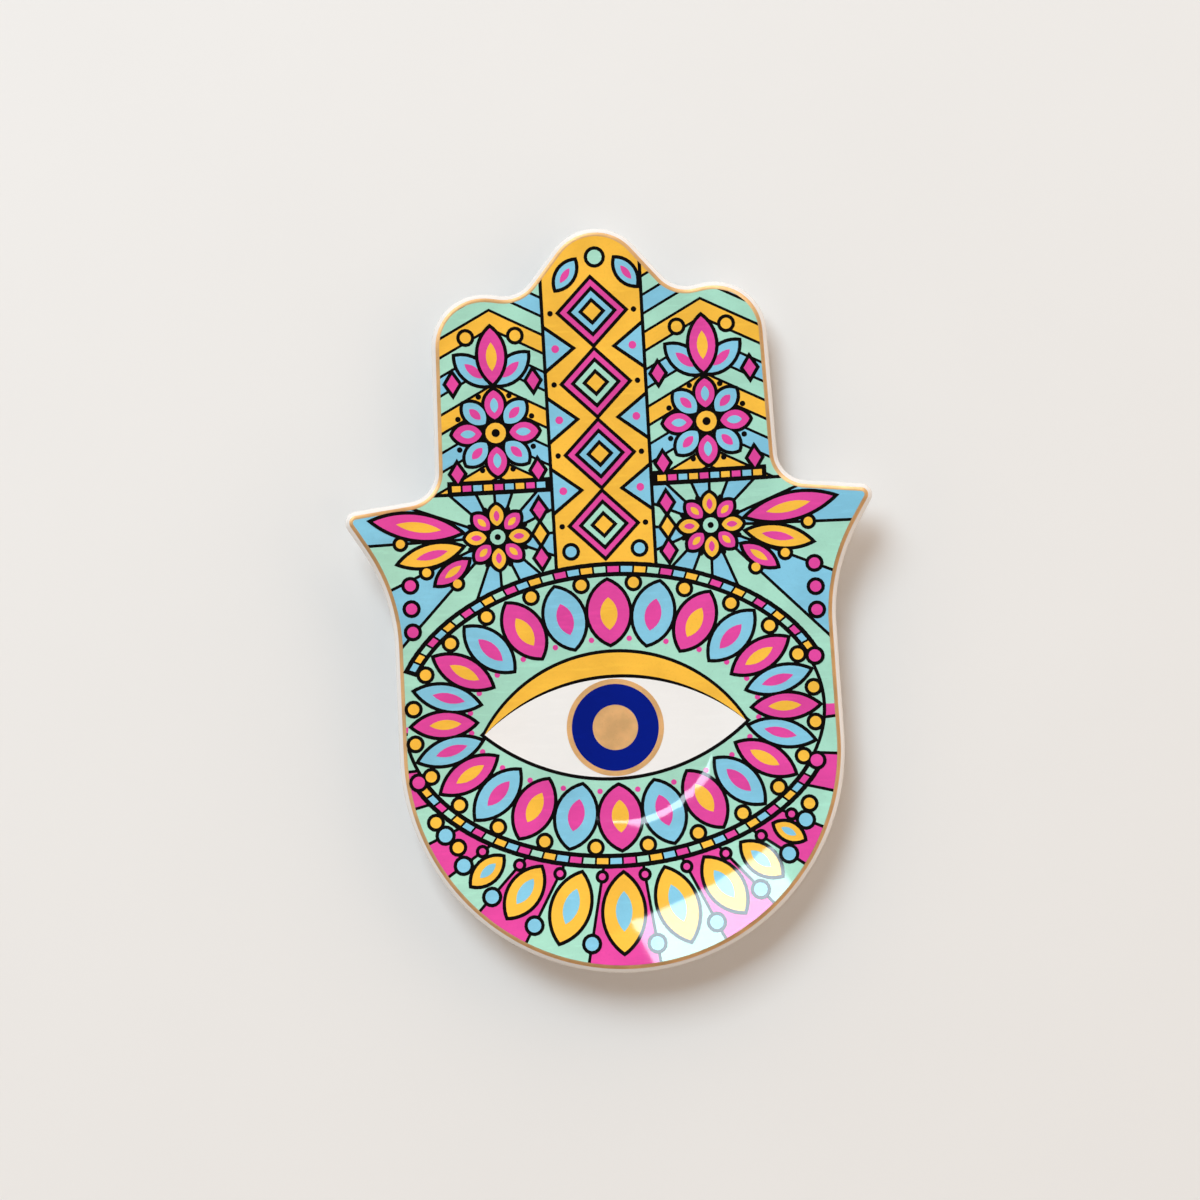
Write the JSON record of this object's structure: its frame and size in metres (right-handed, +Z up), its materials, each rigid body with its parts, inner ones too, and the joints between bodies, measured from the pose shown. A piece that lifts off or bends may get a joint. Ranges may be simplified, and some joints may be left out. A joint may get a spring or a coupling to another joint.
{
  "type": "trinket dish",
  "caption": "Shallow glazed porcelain trinket dish shaped like a hamsa hand, with a gold line on its lip, a printed eye in the palm and an oval foot ring to stand on.",
  "frame": {"origin": "under the middle of the hand, on the plane of the foot ring's underside", "axes": "+Z up, +Y from the palm to the fingertips, +X across the hand to one thumb"},
  "size_m": [0.1128, 0.16, 0.014],
  "materials": {
    "white_glaze": "clear gloss glaze on white porcelain",
    "fired_gold": "fired satin gold",
    "black_enamel": "gloss, fired on",
    "mint_enamel": "gloss, fired on",
    "magenta_enamel": "gloss, fired on",
    "amber_enamel": "gloss, fired on",
    "sky_enamel": "gloss, fired on",
    "white_enamel": "gloss, fired on",
    "cobalt_enamel": "gloss, fired on"
  },
  "bodies": {
    "root": {"porcelain_body": "white_glaze", "rim_gilding": "fired_gold", "black_keyline": "black_enamel", "mint_enamel": "mint_enamel", "magenta_enamel": "magenta_enamel", "amber_enamel": "amber_enamel", "sky_enamel": "sky_enamel", "eye_white": "white_enamel", "eyelid_enamel": "amber_enamel", "iris_gilding": "fired_gold", "iris_cobalt": "cobalt_enamel", "pupil_gilding": "fired_gold"}
  },
  "joints": []
}
